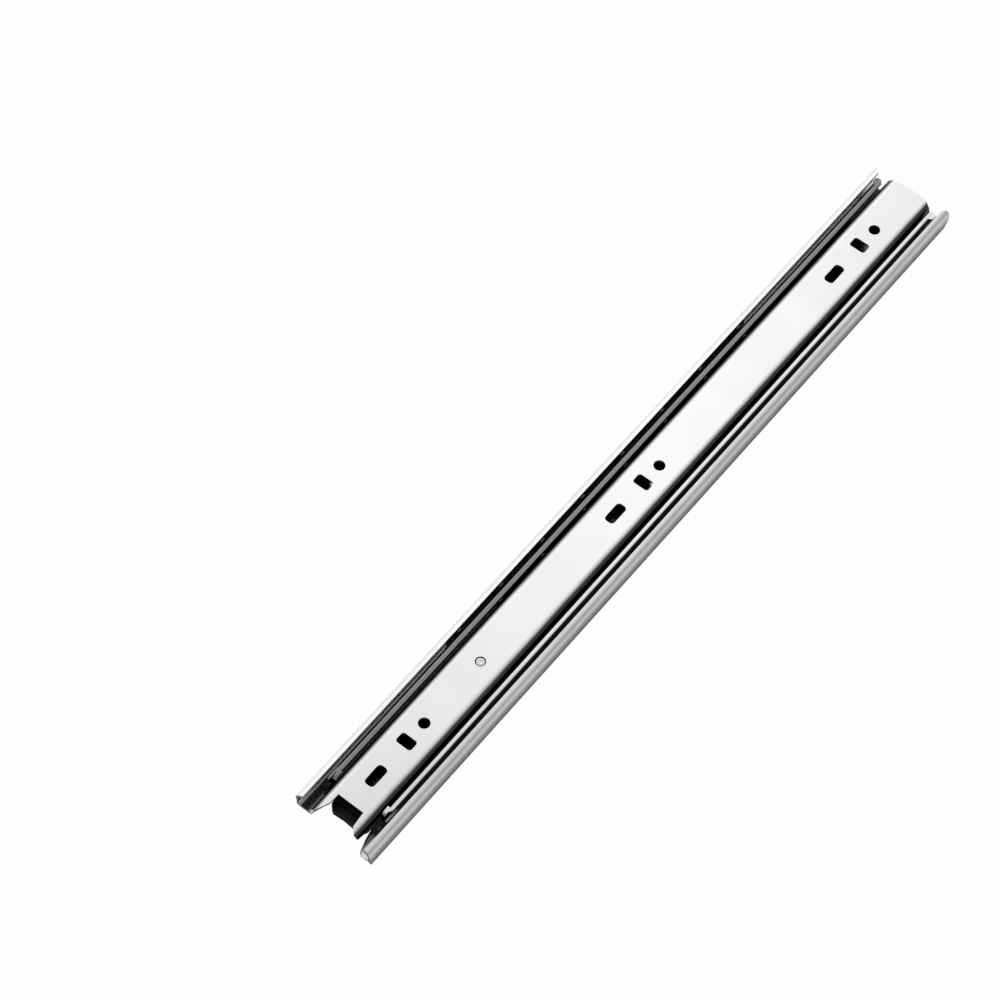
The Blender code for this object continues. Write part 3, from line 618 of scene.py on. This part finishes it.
# The drawer member: the inner channel, screwed to the drawer side.
drawer = {
    "sheet": 1.2, "web": 12.1, "flange": 12.45, "easeRadius": 5.5, "easeY": 8.6, "easeTurn": 75.0,
    "bend": 3.28,
    "groups": (193.4, 17.9, -157.6), "longSlot": (11.6, 5.4), "crossSlot": (-21.8, 5.8, 8.8),
    "roundHole": (-34.0, 5.8),
    "leverPivot": 118.9, "striker": -199.6, "rear": -223.2, "notch": 210.9, "longEar": 223.4,
    "shortEar": 221.9, "edge": 0.26}


def buildDrawerMember():
    ease = drawer["easeRadius"]
    turn = drawer["easeTurn"]
    bend = drawer["bend"]
    rise = math.sin(math.radians(turn))
    drop = ease * (1.0 - rise) + bend * rise
    line = [(0.0, drawer["web"])]
    line += arcPoints(drawer["easeY"], drawer["web"] - ease, ease, 90.0, turn, 8)[:-1]
    line += arcPoints(drawer["flange"] - bend, drawer["web"] - drop, bend, turn, 0.0, 20)
    line += [(drawer["flange"], 8.3)] + arcPoints(*innerRow, 1.8 + drawer["sheet"] / 2, 145.0, 215.0, 12)
    member = sheetPiece("drawerMember", line, drawer["sheet"], slideRear, slideFront, "drawerZinc")
    through = (11.0, 13.5, "Z")
    shapes = []
    for x in drawer["groups"]:
        offset, length, width = drawer["crossSlot"]
        shapes.append((slotPoints(x, 0.0, *drawer["longSlot"], 1.9), *through))
        shapes.append((slotPoints(x + offset, -0.3, length, width, 1.5), *through))
        shapes.append((roundHole(x + drawer["roundHole"][0], 0.0, drawer["roundHole"][1]), *through))
    shapes.append((roundHole(drawer["leverPivot"], 0.0, 5.2), *through))
    shapePiece(member, shapes)
    corner = [(209.3, 3.1), (211.6, 5.05), (214.2, 6.9), (218.0, 8.8), (slideFront + 2.3, 11.3),
              (slideFront + 2.3, 3.1)]
    shapePiece(member, [(corner, -16.0, 16.0, "Y")])
    short = drawer["shortEar"]
    long = drawer["longEar"]
    floor = drawer["notch"]
    notch = [(floor, -7.2), (floor, 7.2), (short - 3.0, 8.0), (short - 0.2, 10.6), (short, 15.0),
             (slideFront + 5.0, 15.0), (slideFront + 5.0, -15.0), (long, -15.0), (long, -10.6),
             (long - 6.6, -7.5)]
    rear = [(-15.0, 1.4), (-12.0, 1.4), (-9.6, 0.7), (-7.5, 0.38), (-5.0, 0.15), (-2.5, 0.04), (0.0, 0.0),
            (2.5, 0.04), (5.0, 0.15), (7.5, 0.4), (9.6, 0.8), (12.0, 2.0), (15.0, 2.0)]
    rear = [(drawer["rear"] + back, y) for y, back in rear]
    shapePiece(member, [(notch, 3.5, 13.5, "Z"),
                        ([(slideRear - 5.0, -15.0)] + rear + [(slideRear - 5.0, 15.0)], 3.5, 13.5, "Z")])
    softenEdges(member, drawer["edge"])
    attach(member, "drawer_side", "bright_zinc", "drawer_member")
    print("drawer member built:", len(member.data.polygons), "faces")


buildDrawerMember()

# Both ball rows: a cage of thin strip with a pocket for each ball, and hardened balls.
rows = {
    "outer": {"count": 8, "first": -105.0, "pitch": 30.8, "y": outerRow[0], "z": outerRow[1], "radius": 2.0,
              "pocket": 4.5, "cageWeb": 1.75, "cageTop": 10.5, "strip": 0.5, "span": (-110.0, 115.0),
              "windows": [boxPoints(-112.0, 62.0, -9.5, 9.5), slotPoints(88.0, 0.0, 38.0, 22.0, 3.0)],
              "windowDepth": (1.0, 2.6)},
    "inner": {"count": 7, "first": -104.0, "pitch": 31.6, "y": innerRow[0], "z": innerRow[1], "radius": 1.6,
              "pocket": 3.6, "cageWeb": 3.9, "cageTop": 8.3, "strip": 0.4, "span": (-193.0, 87.3),
              "windows": [slotPoints(x, 0.0, 52.0, 18.0, 3.0) for x in (-150.0, -80.0, -10.0, 50.0)]
              + [boxPoints(84.0, 90.0, -13.6, 13.6), boxPoints(-195.0, -189.5, -13.6, 13.6)],
              "windowDepth": (3.2, 4.5)}}


def buildBallRow(label):
    row = rows[label]
    bend = 0.5
    line = [(0.0, row["cageWeb"])]
    line += arcPoints(row["y"] - bend, row["cageWeb"] + bend, bend, -90.0, 0.0, 6)
    line += [(row["y"], row["cageTop"])]
    cage = sheetPiece(label + "BallCage", line, row["strip"], *row["span"], "cageSteel")
    places = [row["first"] + row["pitch"] * index for index in range(row["count"])]
    across = (-row["y"] - 1.0, row["y"] + 1.0, "Y")
    shapePiece(cage, [(roundHole(x, row["z"], row["pocket"], 32), *across) for x in places])
    shapePiece(cage, [(window, *row["windowDepth"], "Z") for window in row["windows"]])
    softenEdges(cage, 0.05, 1)
    attach(cage, label + "_cage", "spring_steel", label + "_ball_cage")
    bm = bmesh.new()
    bmesh.ops.create_uvsphere(bm, u_segments=28, v_segments=16, radius=row["radius"] * mm)
    mesh = bpy.data.meshes.new(label + "Ball")
    bm.to_mesh(mesh)
    bm.free()
    mesh.materials.append(finishes["chromeBall"])
    mesh.shade_smooth()
    for side, word in ((1, "right"), (-1, "left")):
        for index, x in enumerate(places):
            ball = bpy.data.objects.new("%sBall%s%d" % (label, word.title(), index + 1), mesh)
            ball.location = Vector((x, side * row["y"], row["z"])) * mm
            bpy.context.scene.collection.objects.link(ball)
            attach(ball, label + "_cage", "ball_steel", "%s_ball_%s_%d" % (label, word, index + 1))
    print(label, "ball row built:", 2 * len(places), "balls")


buildBallRow("outer")
buildBallRow("inner")

# The black front bumper closes the intermediate member and cushions both channels.
bumper = {"blockHalf": 8.8, "wing": 17.0, "blockTop": 9.0, "edge": 0.35}


def buildFrontBumper():
    block = bumper["blockHalf"]
    wing = bumper["wing"]
    lip = [(211.4, -block), (214.0, -block), (215.4, -7.6), (216.4, -6.3), (216.2, -3.0), (216.0, 0.0),
           (216.2, 3.2), (216.4, 6.6), (216.0, block), (211.4, block)]
    shapes = [(boxPoints(203.2, 212.1, -block, block), 3.7, bumper["blockTop"], "Z"), (lip, 2.2, 6.6, "Z"),
              (boxPoints(207.5, 210.4, -wing, wing), 3.65, 4.05, "Z")]
    for side in (1, -1):
        shapes.append((boxPoints(207.4, 210.4, 9.8 * side, 16.5 * side), 1.6, 3.9, "Z"))
        post = [(207.5, 13.9 * side), (210.5, 13.9 * side), (210.2, 16.0 * side), (209.2, wing * side),
                (207.5, wing * side)]
        shapes.append((post, 1.7, 9.2, "Z"))
        shapes.append((roundHole(204.9, 5.0 * side, 2.8, 24), 2.0, 4.2, "Z"))
    shapes.append((boxPoints(207.9, 212.0, -1.3, 1.3), 1.5, 5.0, "Z"))
    made = solidPiece("frontBumper", shapes, "blackNylon")
    softenEdges(made, bumper["edge"], 3)
    attach(made, "middle", "black_plastic", "front_bumper")


# The rubber stop behind, held by a D-shaped peg in the cabinet member.
def buildRearBumper():
    made = solidPiece("rearBumper", [(slotPoints(-215.0, 0.0, 7.6, 10.0, 1.5), 1.5, 10.9, "Z"),
                                     (pegHole(0.3), 0.1, 2.0, "Z")], "blackRubber")
    softenEdges(made, 0.5, 3)
    attach(made, "cabinet_side", "rubber", "rear_bumper")


# The closing detent: two sprung arms that hold the striker when the drawer is shut.
def buildClosingDetent():
    shapes = [(boxPoints(-208.5, -191.0, -7.0, 7.0), 3.7, 4.9, "Z"),
              (boxPoints(-208.5, -206.6, -7.0, 7.0), 4.2, 9.6, "Z")]
    for side in (1, -1):
        arm = [(-207.4, 6.8), (-207.4, 5.4), (-202.6, 4.0), (-200.6, 2.5), (-199.0, 2.5), (-196.4, 1.75),
               (-191.6, 4.0), (-192.4, 5.2), (-197.0, 3.6), (-201.4, 5.4), (-205.0, 6.8)]
        shapes.append(([(x, y * side) for x, y in arm], 4.4, 9.2, "Z"))
    made = solidPiece("closingDetent", shapes, "blackNylon")
    shapePiece(made, [(roundHole(-194.6, 0.0, 3.2), 3.0, 5.3, "Z")], finish=0)
    softenEdges(made, 0.2, 2)
    attach(made, "middle", "black_plastic", "closing_detent")


# A turned rivet from its (radius, height) profile, foot to top.
def turnRivet(name, node, body, x, profile, finish="rivetSteel"):
    bm = bmesh.new()
    sides = 40
    turns = [2 * math.pi * i / sides for i in range(sides)]
    rings = [[bm.verts.new((x + radius * math.cos(turn), radius * math.sin(turn), z)) for turn in turns]
             for radius, z in profile]
    for low, high in zip(rings, rings[1:]):
        for i in range(sides):
            bm.faces.new((low[i], low[(i + 1) % sides], high[(i + 1) % sides], high[i]))
    bm.faces.new(list(reversed(rings[0])))
    bm.faces.new(rings[-1])
    made = newPiece(name, bm, [finish])
    made.data.shade_smooth()
    made.data.set_sharp_from_angle(angle=math.radians(40))
    attach(made, body, "ball_steel", node)


def buildRivets():
    pivot = drawer["leverPivot"]
    turnRivet("leverRivet", "lever_rivet", "drawer_side", pivot,
              [(1.3, 9.0), (1.5, 9.15), (1.5, 11.2), (2.1, 11.2), (2.3, 11.35), (2.3, 12.1), (2.2, 12.3),
               (1.95, 12.44), (1.5, 12.5), (1.2, 12.5), (1.0, 12.42), (0.5, 12.36)])
    turnRivet("detentRivet", "detent_rivet", "middle", -194.6,
              [(1.2, 2.0), (1.3, 2.1), (1.3, 5.2), (1.6, 5.2), (1.7, 5.3), (1.7, 5.5), (1.5, 5.7),
               (1.0, 5.8), (0.3, 5.8)])
    turnRivet("detentStriker", "detent_striker", "drawer_side", drawer["striker"],
              [(1.3, 6.2), (1.5, 6.3), (1.6, 6.5), (1.6, 11.2), (0.9, 11.2), (0.9, 11.9), (0.8, 12.0)])


# The release lever: pivots on its rivet, its hook behind the intermediate member's block.
def buildReleaseLever():
    pivot = drawer["leverPivot"]
    arm = [(pivot + 16.0, -3.6), (pivot + 18.0, -1.6), (pivot + 18.0, 2.6), (pivot + 14.0, 4.6),
           (pivot - 8.0, 5.6), (60.0, 6.3), (20.0, 7.2), (-26.0, 7.7), (-35.6, 7.7), (-36.6, 7.2),
           (-36.6, 6.4), (-26.0, 5.0), (20.0, 4.5), (60.0, 3.2), (pivot - 12.0, -4.2)]
    hook = [(-36.4, 7.6), (-36.4, 6.6), (-35.0, 6.0), (-32.2, 6.0), (-32.2, 7.6)]
    made = solidPiece("releaseLever", [(arm, 9.1, 10.4, "Z"), (hook, 4.7, 9.6, "Z")], "blackNylon")
    shapePiece(made, [(roundHole(pivot, 0.0, 3.6), 8.8, 10.8, "Z")], finish=0)
    softenEdges(made, 0.15, 2)
    attach(made, "lever", "black_plastic", "release_lever")


buildFrontBumper()
buildRearBumper()
buildClosingDetent()
buildRivets()
buildReleaseLever()
print("plastic, rubber and rivets built")

# Studio: a pale floor, a sky that is white to the left and greyer to the right, and one weak softbox.
# Glossy rays see the floor darker close to the object, a painted contact shadow, and glowing white to the
# left, a painted glow; rays from its underside pass the floor.
studio = {
    "floorSize": 8.0, "floorTone": (0.82, 0.82, 0.82, 1.0), "skyTop": 0.9, "skySide": 0.45,
    "skyLeft": 1.15, "skyBelow": 0.52, "frontShade": 0.24,
    "paintedShadowTone": 0.16, "paintedShadowReach": 0.0125, "contactGap": 0.002, "leftGlow": 1.0, "floorDrop": 0.0002,
    "softbox": {"place": (-0.55, -0.9, 1.15), "size": 1.2, "power": 0.7}}


def buildFloor():
    half = studio["floorSize"] / 2
    mesh = bpy.data.meshes.new("studioFloor")
    corners = [(x * half, y * half, -studio["floorDrop"]) for x, y in ((-1, -1), (1, -1), (1, 1), (-1, 1))]
    mesh.from_pydata(corners, [], [(0, 1, 2, 3)])
    floor = bpy.data.objects.new("studioFloor", mesh)
    bpy.context.scene.collection.objects.link(floor)
    made = bpy.data.materials.new("paleFloor")
    made.use_nodes = True
    tree = made.node_tree
    tree.nodes.clear()
    path = putNode(tree, "LightPath").outputs
    # Painted contact shadow: glossy rays see the floor darker near the object.
    nearShadow = remap(tree, path["Ray Length"], 0.0, studio["paintedShadowReach"], studio["paintedShadowTone"], 1.0, smooth=False)
    mirrored = doMath(tree, "MAXIMUM", nearShadow, doMath(tree, "SUBTRACT", 1.0, path["Is Glossy Ray"]))
    tone = blendColour(tree, mirrored, (0.0, 0.0, 0.0, 1.0), studio["floorTone"])
    matte = putNode(tree, "BsdfDiffuse", {"Color": tone}).outputs[0]
    across = putNode(tree, "SeparateXYZ", {0: putNode(tree, "TexCoord").outputs["Object"]}).outputs[1]
    # Painted glow: glossy rays see the floor to the left glowing white.
    leftGlow = remap(tree, across, -0.028, -0.040, 0.0, studio["leftGlow"])
    leftGlow = doMath(tree, "MULTIPLY", leftGlow, path["Is Glossy Ray"])
    glow = putNode(tree, "Emission", {"Color": (1.0, 1.0, 1.0, 1.0), "Strength": 1.0}).outputs[0]
    clear = putNode(tree, "BsdfTransparent").outputs[0]
    seen = path["Is Camera Ray"]
    under = putNode(tree, "NewGeometry").outputs["Backfacing"]
    share = doMath(tree, "MAXIMUM", doMath(tree, "MULTIPLY", seen, 0.97), leftGlow)
    lit = putNode(tree, "MixShader", {0: share, 1: matte, 2: glow}).outputs[0]
    touching = doMath(tree, "LESS_THAN", path["Ray Length"], studio["contactGap"])
    touching = doMath(tree, "MULTIPLY", touching, doMath(tree, "SUBTRACT", 1.0, seen))
    through = doMath(tree, "MAXIMUM", under, touching)
    shown = putNode(tree, "MixShader", {0: through, 1: lit, 2: clear}).outputs[0]
    end = putNode(tree, "OutputMaterial")
    tree.links.new(shown, end.inputs["Surface"])
    mesh.materials.append(made)


def buildSky():
    world = bpy.data.worlds.new("studioSky")
    bpy.context.scene.world = world
    world.use_nodes = True
    tree = world.node_tree
    tree.nodes.clear()
    way = putNode(tree, "SeparateXYZ", {0: putNode(tree, "TexCoord").outputs["Generated"]}).outputs
    high = remap(tree, way[2], 0.46, 0.92)
    front = doMath(tree, "MULTIPLY", remap(tree, way[0], -0.42, -0.28), studio["frontShade"])
    top = doMath(tree, "MULTIPLY", doMath(tree, "SUBTRACT", 1.0, front), studio["skyTop"])
    left = remap(tree, way[1], 0.35, -0.25)
    low = doMath(tree, "MULTIPLY", left, studio["skyLeft"] - studio["skySide"])
    low = doMath(tree, "ADD", low, studio["skySide"])
    level = doMath(tree, "ADD", doMath(tree, "MULTIPLY", high, top),
                   doMath(tree, "MULTIPLY", doMath(tree, "SUBTRACT", 1.0, high), low))
    below = remap(tree, way[2], -0.02, 0.02)
    level = doMath(tree, "ADD", doMath(tree, "MULTIPLY", below, level),
                   doMath(tree, "MULTIPLY", doMath(tree, "SUBTRACT", 1.0, below), studio["skyBelow"]))
    paper = (1.0, 1.0, 1.0, 1.0)
    back = putNode(tree, "Background", {"Color": paper, "Strength": level}).outputs[0]
    white = putNode(tree, "Background", {"Color": paper, "Strength": 1.0}).outputs[0]
    seen = putNode(tree, "LightPath").outputs["Is Camera Ray"]
    shown = putNode(tree, "MixShader", {0: seen, 1: back, 2: white}).outputs[0]
    tree.links.new(shown, putNode(tree, "OutputWorld").inputs["Surface"])


def buildSoftbox():
    box = studio["softbox"]
    light = bpy.data.lights.new("softbox", "AREA")
    light.shape = "SQUARE"
    light.size = box["size"]
    light.energy = box["power"]
    made = bpy.data.objects.new("softbox", light)
    made.location = box["place"]
    made.rotation_euler = (-Vector(box["place"])).to_track_quat("-Z", "Y").to_euler()
    bpy.context.scene.collection.objects.link(made)


buildFloor()
buildSky()
buildSoftbox()
bpy.context.scene.view_settings.view_transform = "Standard"

viewpoint = {"place": (0.68055, 0.43297, 1.36424), "turn": (0.5315, -0.0163, 2.2460), "lens": 120.137}
camera = bpy.data.objects.new("camera", bpy.data.cameras.new("camera"))
camera.data.sensor_width = 36.0
camera.data.lens = viewpoint["lens"]
camera.data.clip_start = 0.01
camera.data.clip_end = 50.0
camera.location = viewpoint["place"]
camera.rotation_euler = viewpoint["turn"]
bpy.context.scene.collection.objects.link(camera)
bpy.context.scene.camera = camera
print("studio and camera ready")
